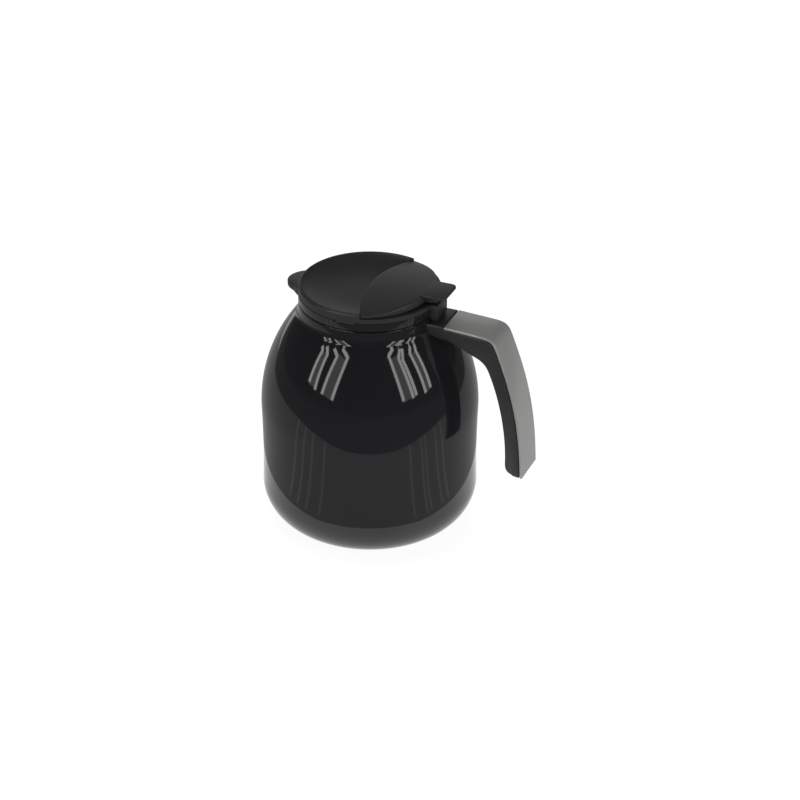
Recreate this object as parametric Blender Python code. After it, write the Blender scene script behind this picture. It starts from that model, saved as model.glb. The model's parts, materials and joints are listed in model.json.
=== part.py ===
"""Thermal coffee jug with a lever lid, for a filter coffee machine.

Metres, +Z up. The origin is the middle of the underside, +X points to the handle and -X to the pouring
beak. A glass vacuum flask stands in a turned plastic shell. The lid lifts out, and pressing the thumb tab
over the handle raises a valve in the lid's plug.
"""

import math

import bmesh
import bpy
from mathutils import Matrix, Vector

MM = 0.001
MERGE = 0.002 * MM
GAP = 0.3 * MM
SCREW_RADIUS = 1.4 * MM

# Outer shell
BODY_RADIUS = 75.0 * MM
WALL = 2.6 * MM
WAIST = 0.6 * MM
DOME_RADIUS = 106.0 * MM
DOME_CENTRE_Z = 88.0 * MM
CORNER_RADIUS = 28.0 * MM
NECK_RADIUS = 48.5 * MM
NECK_TOP = 166.0 * MM
NECK_FILLET = 9.0 * MM
NECK_FILLET_Z = 161.4 * MM
COLLAR_BORE = 50.5 * MM
COLLAR_TOP = 12.0 * MM
SHELL_STEPS = 40

# Base
CAP_RADIUS = COLLAR_BORE - 0.4 * MM
CAP_FLOOR = 4.2 * MM
CAP_HEIGHT = 11.0 * MM
FOOT_INNER = 38.0 * MM
FOOT_OUTER = 44.0 * MM
FOOT_DEPTH = 1.8 * MM
SEAT_INNER = 20.0 * MM
SEAT_OUTER = 24.0 * MM

# Vacuum flask
GLASS = 1.6 * MM
FLASK_GAP = 8.0 * MM
FLASK_RADIUS = 67.5 * MM
FLASK_BOTTOM = 17.0 * MM
FLASK_CORNER = 37.5 * MM
SHOULDER_Z = 95.0 * MM
SHOULDER_RADIUS = 45.3 * MM
MOUTH_INNER = 31.0 * MM
MOUTH_OUTER = 36.5 * MM
LIP_Z = 150.0 * MM
PORT_RADIUS = 1.5 * MM
HIDDEN_STEPS = 28

# Lid
BAND_BOTTOM = 166.6 * MM
BAND_TOP = 172.0 * MM
BAND_RADIUS = 48.5 * MM
RIM_RADIUS = 48.2 * MM
RIM_Z = 178.0 * MM
CREST_RADIUS = 46.3 * MM
LOW_RIM_Z = 175.4 * MM
DISH_Z = 172.6 * MM
DISH_RISE = 5.2 * MM
DISH_RADIUS = 46.0 * MM
DISH_WALL = 1.8 * MM
DISH_STEPS = [45.0 * MM * i / 7 for i in range(8)]
SKIRT_OUTER = 45.6 * MM
SKIRT_INNER = 43.6 * MM
PLUG_BOTTOM = 137.0 * MM
PLUG_RADIUS = 29.5 * MM
CHAMBER_RADIUS = 26.4 * MM
FLANGE_RADIUS = 41.5 * MM
FLANGE_BOTTOM = 162.0 * MM
FLANGE_TOP = 164.0 * MM
TRAY_FLOOR = 167.0 * MM
TRAY_BOTTOM = 165.4 * MM
SCREW_CIRCLE = 36.5 * MM

# Beak
BEAK_TIP = 60.2 * MM
BEAK_RADIUS = 11.4 * MM
BEAK_FLARE = 18.0 * MM
BEAK_ROOT_TOP = 173.0 * MM
BEAK_TOP_TIP = 171.2 * MM
BEAK_BOTTOM_TIP = 167.8 * MM
CHANNEL_HALF_WIDTH = 7.0 * MM

# Lever
LENS_CENTRE_X = 100.1 * MM
LENS_RADIUS = 98.4 * MM
LENS_REAR_X = -3.7 * MM
LENS_REAR = 48.3 * MM
LENS_FRONT_Z = 180.4 * MM
LENS_SLOPE = 0.045
LENS_CROWN = 250.0 * MM
LENS_WALL = 1.8 * MM
LENS_THICK = 2.0 * MM
TRAY_REAR = 42.4 * MM
TRAY_WALL = 1.6 * MM
LEVER_CLEARANCE = 0.5 * MM
TAB_START = 41.0 * MM
TAB_END = 58.6 * MM
TAB_HALF_WIDTH = 12.0 * MM
TAB_TOP = 183.1 * MM
TAB_THICK = 1.9 * MM
REST_END = 52.3 * MM
REST_HALF_WIDTH = 9.5 * MM
PRESS_ANGLE = math.radians(8.0)
PIVOT_X = 36.0 * MM
PIVOT_Z = 176.0 * MM
EAR_RADIUS = 2.6 * MM
PIN_RADIUS = 1.25 * MM
PIN_HALF_LENGTH = 12.0 * MM
PIN_RUNNING_HOLE = 1.32 * MM

# Valve
VALVE_X = 8.0 * MM
SEAT_HOLE = 9.0 * MM
DISC_RADIUS = 12.0 * MM
STEM_RADIUS = 2.0 * MM
STEM_HEAD = 3.6 * MM
STEM_HEAD_Z = 174.0 * MM
STEM_HEAD_THICK = 1.0 * MM
SPRING_RADIUS = 5.8 * MM
SPRING_WIRE = 0.45 * MM
SPRING_TURNS = 5
SPRING_BOTTOM = 143.9 * MM
SPRING_TOP = 164.6 * MM

# Handle, in the XZ plane
HANDLE_HALF_WIDTH = 14.0 * MM
HANDLE_TOP = 163.5 * MM
TRIM_START = 59.0 * MM
TRIM_THICK = 1.8 * MM
HANDLE_SCREW_Z = 158.4 * MM
HANDLE_SCREW_Y = 5.2 * MM


def clear_scene():
    for obj in list(bpy.data.objects):
        bpy.data.objects.remove(obj, do_unlink=True)


def material(name, colour, roughness, metallic=0.0, transmission=0.0):
    made = bpy.data.materials.new(name)
    made.use_nodes = True
    shader = made.node_tree.nodes["Principled BSDF"]
    shader.inputs["Base Color"].default_value = (*colour, 1.0)
    shader.inputs["Roughness"].default_value = roughness
    shader.inputs["Metallic"].default_value = metallic
    shader.inputs["Transmission Weight"].default_value = transmission
    return made


# ---- Outlines -------------------------------------------------------------------------------------------


def arc(centre, radius, start, end, count):
    """Points on an arc in a flat plane, from start to end in degrees, with both ends."""
    angles = [math.radians(start + (end - start) * i / (count - 1)) for i in range(count)]
    return [(centre[0] + radius * math.cos(a), centre[1] + radius * math.sin(a)) for a in angles]


def bezier(p0, p1, p2, p3, count):
    """Points on a cubic curve between p0 and p3, with both ends."""
    points = []
    for i in range(count):
        t = i / (count - 1)
        weights = ((1 - t) ** 3, 3 * t * (1 - t) ** 2, 3 * t * t * (1 - t), t**3)
        points.append(tuple(sum(w * p[k] for w, p in zip(weights, (p0, p1, p2, p3))) for k in (0, 1)))
    return points


def mm(*pairs):
    """The given (across, up) pairs, written in millimetres, in metres."""
    return [(a * MM, b * MM) for a, b in pairs]


def skin(inset, fillet_points=4, dome_points=8, side_points=4, corner_points=7):
    """The shell's outer line from neck to foot, moved inwards by inset, as (radius, height)."""
    dome_centre = (BODY_RADIUS - DOME_RADIUS, DOME_CENTRE_Z)
    fillet_centre = (NECK_RADIUS + NECK_FILLET, NECK_FILLET_Z)
    rise = math.degrees(math.atan2(NECK_FILLET_Z - DOME_CENTRE_Z, fillet_centre[0] - dome_centre[0]))
    corner_centre = (BODY_RADIUS - CORNER_RADIUS, CORNER_RADIUS)
    line = [(NECK_RADIUS - inset, NECK_TOP)]
    line += arc(fillet_centre, NECK_FILLET + inset, 180, 180 + rise, fillet_points)
    line += arc(dome_centre, DOME_RADIUS - inset, rise, 0, dome_points)[1:]
    for i in range(1, side_points):
        share = i / side_points
        height = DOME_CENTRE_Z + (CORNER_RADIUS - DOME_CENTRE_Z) * share
        line.append((BODY_RADIUS - inset - WAIST * math.sin(math.pi * share), height))
    line += arc(corner_centre, CORNER_RADIUS - inset, 0, -90, corner_points)
    return line


def cut_off_at_radius(line, radius):
    """The line without its points inside the radius, ending exactly on it."""
    kept = []
    for (r0, z0), (r1, z1) in zip(line, line[1:]):
        kept.append((r0, z0))
        if r1 < radius <= r0 and z1 < CORNER_RADIUS:
            share = (r0 - radius) / (r0 - r1)
            kept.append((radius, z0 + (z1 - z0) * share))
            return kept
    return kept + [line[-1]]


def flask_wall(inset, neck_radius, neck_top):
    """One face of the flask's glass, from the neck down to the middle of the bottom."""
    radius = SHOULDER_RADIUS - inset
    shoulder_x = FLASK_RADIUS - SHOULDER_RADIUS
    corner = FLASK_CORNER - inset
    corner_x = FLASK_RADIUS - FLASK_CORNER
    top = math.degrees(math.acos((neck_radius - shoulder_x) / radius))
    line = [(neck_radius, neck_top)]
    line += arc((shoulder_x, SHOULDER_Z), radius, top, 0, 6)
    line += arc((corner_x, FLASK_BOTTOM + FLASK_CORNER), corner, 0, -90, 5)
    return line


def dish_height(radius):
    return DISH_Z + DISH_RISE * (radius / DISH_RADIUS) ** 4


def dish_line(raise_by, ceiling=RIM_Z):
    """The lid's dished face from the middle to the crest of its rim, moved up by raise_by."""
    line = [(r, min(dish_height(r), ceiling) + raise_by) for r in DISH_STEPS]
    return line + [(CREST_RADIUS, ceiling + raise_by)]


def lens_outline(inset, rear, rear_x=0.0):
    """Two overlapping circles from above: the plate's front edge, moved back by inset, and a rear circle."""
    front = LENS_RADIUS - inset
    between = LENS_CENTRE_X - rear_x
    tip_x = (between**2 + rear**2 - front**2) / (2 * between)
    rear_angle = math.degrees(math.acos(tip_x / rear))
    front_angle = math.degrees(math.asin(math.sqrt(rear**2 - tip_x**2) / front))
    line = arc((rear_x, 0), rear, -rear_angle, rear_angle, 19)
    line += arc((LENS_CENTRE_X, 0), front, 180 - front_angle, 180 + front_angle, 13)[1:-1]
    return line


def beak_outline():
    """The beak seen from above: a round tip that flares out to the lid's rim."""
    centre_x = BEAK_RADIUS - BEAK_TIP
    flare = [(-46.0 * MM, 16.5 * MM), (-49.5 * MM, 13.2 * MM)]
    line = [(-42 * MM, BEAK_FLARE)] + flare
    line += arc((centre_x, 0), BEAK_RADIUS, 120, 240, 11)
    line += [(x, -y) for x, y in reversed(flare)]
    return line + [(-42 * MM, -BEAK_FLARE)]


# ---- Solids ---------------------------------------------------------------------------------------------


def finish(bm, name, mat=None, pivot=(0, 0, 0)):
    """Turns a bmesh into a smooth-shaded object whose origin is the pivot."""
    bmesh.ops.remove_doubles(bm, verts=bm.verts, dist=MERGE)
    bmesh.ops.recalc_face_normals(bm, faces=bm.faces)
    bmesh.ops.translate(bm, verts=bm.verts, vec=-Vector(pivot))
    mesh = bpy.data.meshes.new(name)
    bm.to_mesh(mesh)
    bm.free()
    mesh.shade_smooth()
    mesh.set_sharp_from_angle(angle=math.radians(35))
    if mat:
        mesh.materials.append(mat)
    obj = bpy.data.objects.new(name, mesh)
    obj.location = pivot
    bpy.context.collection.objects.link(obj)
    return obj


def hide_helper(obj):
    obj.hide_render = True
    obj.display_type = "WIRE"
    obj.hide_set(True)
    return obj


def turned(name, profile, mat=None, steps=HIDDEN_STEPS, centre=(0, 0), pivot=(0, 0, 0)):
    """Spins a closed (radius, height) outline about the vertical line through centre."""
    bm = bmesh.new()
    verts = [bm.verts.new((r, 0, z)) for r, z in profile]
    edges = [bm.edges.new((a, b)) for a, b in zip(verts, verts[1:] + verts[:1]) if a.co.x or b.co.x]
    bmesh.ops.spin(bm, geom=verts + edges, cent=(0, 0, 0), axis=(0, 0, 1), angle=math.tau, steps=steps)
    bmesh.ops.remove_doubles(bm, verts=bm.verts, dist=MERGE)
    bmesh.ops.translate(bm, verts=bm.verts, vec=(centre[0], centre[1], 0))
    return finish(bm, name, mat, pivot)


def upright(name, outline, bottom, top, mat=None, pivot=(0, 0, 0)):
    """A prism that stands on a closed (x, y) outline."""
    bm = bmesh.new()
    face = bm.faces.new([bm.verts.new((x, y, bottom)) for x, y in outline])
    raised = bmesh.ops.extrude_face_region(bm, geom=[face])["geom"]
    bmesh.ops.translate(
        bm, verts=[v for v in raised if isinstance(v, bmesh.types.BMVert)], vec=(0, 0, top - bottom)
    )
    return finish(bm, name, mat, pivot)


def sideways(name, outline, y_low, y_high, mat=None, pivot=(0, 0, 0)):
    """A prism along Y on a closed (x, z) outline."""
    bm = bmesh.new()
    face = bm.faces.new([bm.verts.new((x, y_low, z)) for x, z in outline])
    raised = bmesh.ops.extrude_face_region(bm, geom=[face])["geom"]
    bmesh.ops.translate(
        bm, verts=[v for v in raised if isinstance(v, bmesh.types.BMVert)], vec=(0, y_high - y_low, 0)
    )
    return finish(bm, name, mat, pivot)


def rod(name, start, end, radius, mat=None, steps=20, pivot=(0, 0, 0)):
    """A straight round bar between two points."""
    bm = bmesh.new()
    way = Vector(end) - Vector(start)
    place = Matrix.Translation((Vector(start) + Vector(end)) / 2)
    place = place @ Vector((0, 0, 1)).rotation_difference(way).to_matrix().to_4x4()
    bmesh.ops.create_cone(
        bm,
        cap_ends=True,
        segments=steps,
        radius1=radius,
        radius2=radius,
        depth=way.length,
        matrix=place,
    )
    return finish(bm, name, mat, pivot)


def block(name, low, high, mat=None):
    outline = [(low[0], low[1]), (high[0], low[1]), (high[0], high[1]), (low[0], high[1])]
    return upright(name, outline, low[2], high[2], mat)


def boolean(target, operand, operation):
    modifier = target.modifiers.new(operand.name, "BOOLEAN")
    modifier.operation = operation
    modifier.object = hide_helper(operand)
    return target


def cut(target, *cutters):
    for cutter in cutters:
        boolean(target, cutter, "DIFFERENCE")
    return target


def join(target, *others):
    for other in others:
        boolean(target, other, "UNION")
    return target


def keep_inside(target, limit):
    return boolean(target, limit, "INTERSECT")


def round_edges(obj, width, angle=50):
    bevel = obj.modifiers.new("rounded edges", "BEVEL")
    bevel.width = width
    bevel.segments = 2
    bevel.limit_method = "ANGLE"
    bevel.angle_limit = math.radians(angle)
    return obj


def around(count, start=0.0):
    """Evenly spaced angles in radians."""
    return [math.radians(start) + math.tau * i / count for i in range(count)]


# ---- Jug ------------------------------------------------------------------------------------------------


def make_outer_shell(mat):
    outside = cut_off_at_radius(skin(0), COLLAR_BORE)
    inside = cut_off_at_radius(skin(WALL, 3, 6, 2, 5), COLLAR_BORE + WALL)
    collar = [(COLLAR_BORE + WALL, COLLAR_TOP), (COLLAR_BORE, COLLAR_TOP)]
    profile = outside + list(reversed(inside + collar))
    shell = turned("outer_shell", profile, mat, SHELL_STEPS)
    for side in (-1, 1):
        start = (NECK_RADIUS - 8 * MM, side * HANDLE_SCREW_Y, HANDLE_SCREW_Z)
        end = (NECK_RADIUS + 8 * MM, side * HANDLE_SCREW_Y, HANDLE_SCREW_Z)
        cut(shell, rod("shell_screw_hole", start, end, SCREW_RADIUS + GAP))
    return shell


def make_base(plastic, rubber):
    profile = [(0, 0), (FOOT_INNER, 0), (FOOT_INNER, FOOT_DEPTH), (FOOT_OUTER, FOOT_DEPTH), (FOOT_OUTER, 0)]
    profile += [(CAP_RADIUS - 1.0 * MM, 0), (CAP_RADIUS, 1.0 * MM), (CAP_RADIUS, CAP_HEIGHT)]
    profile += [(CAP_RADIUS - WALL, CAP_HEIGHT), (CAP_RADIUS - WALL, CAP_FLOOR), (SEAT_OUTER, CAP_FLOOR)]
    profile += [(SEAT_OUTER, CAP_HEIGHT), (SEAT_INNER, CAP_HEIGHT), (SEAT_INNER, CAP_FLOOR), (0, CAP_FLOOR)]
    cap = turned("base_cap", profile, plastic)
    for side in (-1, 1):
        start = (side * 30 * MM, 0, -1 * MM)
        end = (side * 30 * MM, 0, 2.2 * MM)
        cut(cap, rod("spanner_recess", start, end, 3.0 * MM))

    foot_top = FOOT_DEPTH - GAP
    foot = [(FOOT_INNER + GAP, 0), (FOOT_OUTER - GAP, 0), (FOOT_OUTER - GAP, foot_top)]
    turned("base_foot_ring", foot + [(FOOT_INNER + GAP, foot_top)], rubber)

    cushion_top = FLASK_BOTTOM - GAP
    cushion = [(12 * MM, 6 * MM), (SEAT_INNER - GAP, 6 * MM), (SEAT_INNER - GAP, CAP_HEIGHT + GAP)]
    cushion += [(27 * MM, CAP_HEIGHT + GAP), (27 * MM, cushion_top - 1 * MM)]
    cushion += [(26 * MM, cushion_top), (12 * MM, cushion_top)]
    turned("flask_cushion", cushion, rubber)


def make_flask(glass, cork):
    inner_face = flask_wall(FLASK_GAP, MOUTH_INNER, LIP_Z - 1 * MM)
    gap_inner = flask_wall(FLASK_GAP - GLASS, MOUTH_INNER + GLASS, LIP_Z - GLASS)
    gap_outer = flask_wall(GLASS, MOUTH_OUTER - GLASS, LIP_Z - GLASS)
    outer_face = flask_wall(0, MOUTH_OUTER, LIP_Z - 1 * MM)
    lip = [(MOUTH_OUTER - 1 * MM, LIP_Z), (MOUTH_INNER + 1 * MM, LIP_Z)]
    profile = [(PORT_RADIUS, FLASK_BOTTOM)] + list(reversed(outer_face)) + lip + inner_face
    profile += [(0, FLASK_BOTTOM + FLASK_GAP), (0, FLASK_BOTTOM + FLASK_GAP - GLASS)]
    profile += list(reversed(gap_inner)) + gap_outer + [(PORT_RADIUS, FLASK_BOTTOM + GLASS)]
    turned("vacuum_flask", profile, glass)

    tip_top = FLASK_BOTTOM + GLASS - 0.2 * MM
    tip = [(0, tip_top), (PORT_RADIUS - GAP, tip_top), (PORT_RADIUS - GAP, FLASK_BOTTOM - GAP)]
    tip += [(3.2 * MM, FLASK_BOTTOM - GAP), (2.4 * MM, 14.5 * MM), (0, 11.8 * MM)]
    turned("flask_seal_tip", tip, glass, steps=16)

    inner = FLASK_RADIUS - FLASK_GAP + GLASS + GAP
    outer = FLASK_RADIUS - GLASS - 0.7 * MM
    for number, angle in enumerate(around(3, 60), 1):
        way = Vector((math.cos(angle), math.sin(angle), 0))
        height = Vector((0, 0, 72 * MM))
        rod(f"flask_spacer_{number}", way * inner + height, way * outer + height, 3 * MM, cork, 16)


def make_neck(plastic, rubber):
    gasket = [(MOUTH_INNER + 0.3 * MM, LIP_Z + GAP), (37.2 * MM, LIP_Z + GAP)]
    gasket += [(37.2 * MM, LIP_Z + 2.0 * MM), (MOUTH_INNER + 0.3 * MM, LIP_Z + 2.0 * MM)]
    turned("neck_gasket", gasket, rubber)

    bore = MOUTH_INNER + 0.5 * MM
    funnel = [(bore, LIP_Z + 2.3 * MM), (bore, 154 * MM), (42.6 * MM, 161.2 * MM), (43.6 * MM, 165.4 * MM)]
    outside = [(45.5 * MM, 165.4 * MM), (45.5 * MM, 161.2 * MM), (42.9 * MM, 161.0 * MM)]
    outside += [(42.9 * MM, 159 * MM), (38 * MM, 154.2 * MM), (38 * MM, LIP_Z + 2.3 * MM)]
    turned("neck_ring", funnel + outside, plastic, SHELL_STEPS)


def handle_outer_edge(inset):
    """The handle's top and back in the XZ plane from the root to the free end, moved inwards by inset."""
    top = mm((87, 162.1))
    corner = bezier(*mm((87, 162.1), (94.2, 161.4), (95.6, 158.5), (97.7, 153.6)), 6)
    back = bezier(*mm((97.7, 153.6), (110.4, 122.7), (116.2, 99.5), (117.8, 59.8)), 9)
    line = [(TRIM_START, HANDLE_TOP)] + top + corner[1:] + back[1:]
    moved = []
    for i, point in enumerate(line):
        before = Vector(line[max(i - 1, 0)])
        after = Vector(line[min(i + 1, len(line) - 1)])
        along = (after - before).normalized()
        moved.append((point[0] + along.y * inset, point[1] - along.x * inset))
    return moved


def make_handle(grip_mat, trim_mat, steel):
    seam = handle_outer_edge(TRIM_THICK + GAP)
    grip_top = [(40 * MM, HANDLE_TOP), (TRIM_START - GAP, HANDLE_TOP), (TRIM_START - GAP, seam[0][1])]
    inner = mm((111.0, 60.4)) + bezier(*mm((109.2, 61.6), (106.0, 62.4), (105.0, 65.5), (105.0, 69)), 4)
    inner += bezier(*mm((105.0, 69), (105.0, 96), (98.2, 121), (91.2, 136.6)), 7)[1:]
    inner += bezier(*mm((91.2, 136.6), (88.8, 142), (85.5, 143.9), (82, 145.3)), 4)[1:]
    inner += mm((62, 154.0), (56, 154.0), (40, 158.0))
    grip = sideways(
        "handle_grip", grip_top + seam[1:] + inner, -HANDLE_HALF_WIDTH, HANDLE_HALF_WIDTH, grip_mat
    )
    round_edges(grip, 1.2 * MM)
    envelope = [(r, z) for r, z in skin(-GAP - 0.1 * MM)] + [(0, 0), (0, NECK_TOP)]
    cut(grip, turned("shell_clearance", envelope, steps=SHELL_STEPS))

    outer = handle_outer_edge(0)
    inside = handle_outer_edge(TRIM_THICK)
    trim = sideways(
        "handle_trim", outer + list(reversed(inside)), -HANDLE_HALF_WIDTH, HANDLE_HALF_WIDTH, trim_mat
    )
    round_edges(trim, 0.6 * MM)

    seat = NECK_RADIUS - WALL - 0.9 * MM
    for number, side in enumerate((-1, 1), 1):

        def at(x, y=side * HANDLE_SCREW_Y):
            return (x, y, HANDLE_SCREW_Z)

        shank = rod(f"handle_screw_{number}", at(seat - 0.5 * MM), at(58 * MM), SCREW_RADIUS, steel)
        join(shank, rod("screw_head", at(seat - 1.5 * MM), at(seat), 2.2 * MM))
        cut(grip, rod("grip_screw_hole", at(NECK_RADIUS - 8 * MM), at(59 * MM), SCREW_RADIUS + GAP))


# ---- Lid ------------------------------------------------------------------------------------------------


def below_dish(name, raise_by, beyond, ceiling=RIM_Z):
    """Everything under the lid's dished face, level from the crest outwards, as a cutter."""
    line = dish_line(raise_by, ceiling) + [(beyond, ceiling + raise_by), (beyond, 157 * MM)]
    return turned(name, [(0, 157 * MM)] + line, steps=SHELL_STEPS)


def add_beak(cover):
    """The pouring beak, a sloping tongue with a flat channel that opens at its tip."""
    tongue = upright("tongue", beak_outline(), BAND_BOTTOM, 182 * MM)
    beyond = -70 * MM
    root = -CREST_RADIUS - 0.6 * MM
    slope = (BEAK_ROOT_TOP - BEAK_TOP_TIP) / (root + BEAK_TIP)
    above = [(root, BEAK_ROOT_TOP), (beyond, BEAK_ROOT_TOP + (beyond - root) * slope)]
    above += [(beyond, 190 * MM), (-30 * MM, 190 * MM), (-30 * MM, BEAK_ROOT_TOP)]
    cut(tongue, sideways("above_beak", above, -25 * MM, 25 * MM))
    lip = -BAND_RADIUS - 0.6 * MM
    low_slope = (BEAK_BOTTOM_TIP - BAND_BOTTOM) / (lip + BEAK_TIP)
    below = [(lip, BAND_BOTTOM), (lip, 150 * MM), (beyond, 150 * MM)]
    below += [(beyond, BAND_BOTTOM + (lip - beyond) * low_slope)]
    cut(tongue, sideways("below_beak", below, -25 * MM, 25 * MM))
    join(cover, tongue)
    void = dish_line(0.05 * MM) + [(CREST_RADIUS, 190 * MM), (0, 190 * MM)]
    cut(cover, turned("dish_void", void, steps=SHELL_STEPS))
    channel = mm((-63, 168.9), (-40, 168.2), (-40, 171.0), (-63, 170.0))
    cut(cover, sideways("beak_channel", channel, -CHANNEL_HALF_WIDTH, CHANNEL_HALF_WIDTH))


def add_lever_bed(cover):
    """The lowered rim, tray, bearing ears and stem guide under the lever."""
    far = 60 * MM
    bed = [(far, -far)] + arc((LENS_CENTRE_X, 0), LENS_RADIUS + LEVER_CLEARANCE, 180 + 33, 180 - 33, 15)
    cut(cover, upright("lever_bed", bed + [(far, far)], LOW_RIM_Z, 190 * MM))
    tray = upright("tray", lens_outline(1.0 * MM, TRAY_REAR), TRAY_BOTTOM, 178 * MM)
    keep_inside(tray, below_dish("tray_limit", -0.1 * MM, 47 * MM, LOW_RIM_Z))
    join(cover, tray)
    hollow = lens_outline(1.0 * MM + TRAY_WALL, TRAY_REAR - TRAY_WALL)
    cut(cover, upright("tray_hollow", hollow, TRAY_FLOOR, 185 * MM))
    for side in (-1, 1):
        ear = mm((33.4, 166.5), (38.6, 166.5)) + arc((PIVOT_X, PIVOT_Z), EAR_RADIUS, 0, 180, 7)
        low, high = sorted((side * 9.2 * MM, side * PIN_HALF_LENGTH))
        join(cover, sideways("ear", ear, low, high))
    start = (PIVOT_X, -14 * MM, PIVOT_Z)
    end = (PIVOT_X, 14 * MM, PIVOT_Z)
    cut(cover, rod("ear_hole", start, end, PIN_RADIUS + GAP))
    guide_top = (VALVE_X, 0, TRAY_FLOOR + 2 * MM)
    cut(cover, rod("stem_guide", (VALVE_X, 0, TRAY_BOTTOM - 2 * MM), guide_top, STEM_RADIUS + 0.35 * MM))


def make_lid_cover(mat):
    rim = [(47.5 * MM, RIM_Z - 0.5 * MM), (RIM_RADIUS, RIM_Z - 1.8 * MM)]
    rim += [(RIM_RADIUS, BAND_TOP + GAP), (SKIRT_OUTER, BAND_TOP + GAP)]
    skirt = [(SKIRT_OUTER, BAND_BOTTOM + GAP), (SKIRT_INNER, BAND_BOTTOM + GAP)]
    under = [(SKIRT_INNER, dish_height(SKIRT_INNER) - DISH_WALL)]
    under += [(r, dish_height(r) - DISH_WALL) for r in reversed(DISH_STEPS[:-1])]
    cover = turned("lid_cover", dish_line(0) + rim + skirt + under, mat, SHELL_STEPS)
    add_beak(cover)
    add_lever_bed(cover)
    for index, angle in enumerate(around(3)):
        x = SCREW_CIRCLE * math.cos(angle)
        y = SCREW_CIRCLE * math.sin(angle)
        top = 171.0 * MM if index == 0 else 173.8 * MM
        join(cover, rod("boss", (x, y, FLANGE_TOP + GAP), (x, y, top), 3.6 * MM))
        cut(cover, rod("boss_hole", (x, y, FLANGE_TOP - 1 * MM), (x, y, 169.7 * MM), 1.75 * MM))
    return cover


def make_lid_band(mat):
    profile = [(46.0 * MM, BAND_BOTTOM), (BAND_RADIUS, BAND_BOTTOM), (BAND_RADIUS, BAND_TOP)]
    band = turned("lid_band", profile + [(46.0 * MM, BAND_TOP)], mat, SHELL_STEPS)
    rest_low = (47.2 * MM, -REST_HALF_WIDTH, 164.1 * MM)
    rest = block("lever_rest", rest_low, (REST_END, REST_HALF_WIDTH, LOW_RIM_Z))
    cut(rest, rod("rest_inner", (0, 0, 160 * MM), (0, 0, BAND_BOTTOM), 49.1 * MM, steps=SHELL_STEPS))
    cut(rest, rod("rest_rim", (0, 0, BAND_TOP), (0, 0, 180 * MM), RIM_RADIUS + 0.4 * MM, steps=SHELL_STEPS))
    join(band, rest)
    half = BEAK_FLARE + 0.6 * MM
    cut(band, block("beak_notch", (-70 * MM, -half, 160 * MM), (-20 * MM, half, 180 * MM)))


def make_lid_plug(plastic, rubber, steel):
    floor = PLUG_BOTTOM + 2.2 * MM
    groove = PLUG_RADIUS - 1.1 * MM
    profile = [(0, floor), (CHAMBER_RADIUS, floor), (CHAMBER_RADIUS, FLANGE_TOP)]
    profile += [(FLANGE_RADIUS, FLANGE_TOP), (FLANGE_RADIUS, FLANGE_BOTTOM)]
    profile += [(PLUG_RADIUS, FLANGE_BOTTOM), (PLUG_RADIUS, 146.5 * MM)]
    profile += [(groove, 146.5 * MM), (groove, 139.5 * MM), (PLUG_RADIUS, 139.5 * MM)]
    profile += [(PLUG_RADIUS, 138 * MM), (PLUG_RADIUS - 1 * MM, PLUG_BOTTOM), (0, PLUG_BOTTOM)]
    plug = turned("lid_plug", profile, plastic)
    cut(plug, rod("valve_port", (VALVE_X, 0, 130 * MM), (VALVE_X, 0, floor + 1 * MM), SEAT_HOLE, steps=24))

    lip = 30.6 * MM
    body = 29.9 * MM
    inner = groove + GAP
    seal = [(inner, 139.8 * MM), (body, 139.8 * MM), (body, 140.6 * MM), (lip, 141.2 * MM)]
    seal += [(body, 142.2 * MM), (body, 143.4 * MM), (lip, 144.0 * MM), (body, 145.0 * MM)]
    seal += [(body, 146.2 * MM), (inner, 146.2 * MM)]
    turned("lid_seal", seal, rubber)

    for number, angle in enumerate(around(3), 1):
        x = SCREW_CIRCLE * math.cos(angle)
        y = SCREW_CIRCLE * math.sin(angle)
        cut(plug, rod("flange_hole", (x, y, 160 * MM), (x, y, 165 * MM), 1.75 * MM))
        screw = rod(f"lid_screw_{number}", (x, y, 161 * MM), (x, y, 169.2 * MM), SCREW_RADIUS, steel)
        join(screw, rod("screw_head", (x, y, 159.6 * MM), (x, y, 161.7 * MM), 2.6 * MM))


def plate_top(x, y):
    """The lever plate's upper face: level along its front edge, rising to the tab and crowned across."""
    rise = LENS_SLOPE * (x - (LENS_CENTRE_X - LENS_RADIUS))
    return LENS_FRONT_Z + rise - y * y / (2 * LENS_CROWN)


def crowned(name, outline, bottom, drop):
    """An upright solid on the outline whose top follows the lever plate, lowered by drop."""
    made = upright(name, outline, bottom, 186 * MM)
    half = 60 * MM
    across = [half * (i - 8) / 8 for i in range(17)]
    bm = bmesh.new()
    lower = [[bm.verts.new((x, y, plate_top(x, y) - drop)) for y in across] for x in (-half, half)]
    upper = [[bm.verts.new((x, y, 200 * MM)) for y in across] for x in (-half, half)]
    rows = (lower[0], lower[1], upper[1], upper[0])
    for first, second in zip(rows, rows[1:] + rows[:1]):
        for i in range(len(across) - 1):
            bm.faces.new((first[i], first[i + 1], second[i + 1], second[i]))
    for end in (0, -1):
        bm.faces.new([row[end] for row in rows])
    cut(made, finish(bm, f"{name}_top"))
    return made


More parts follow.
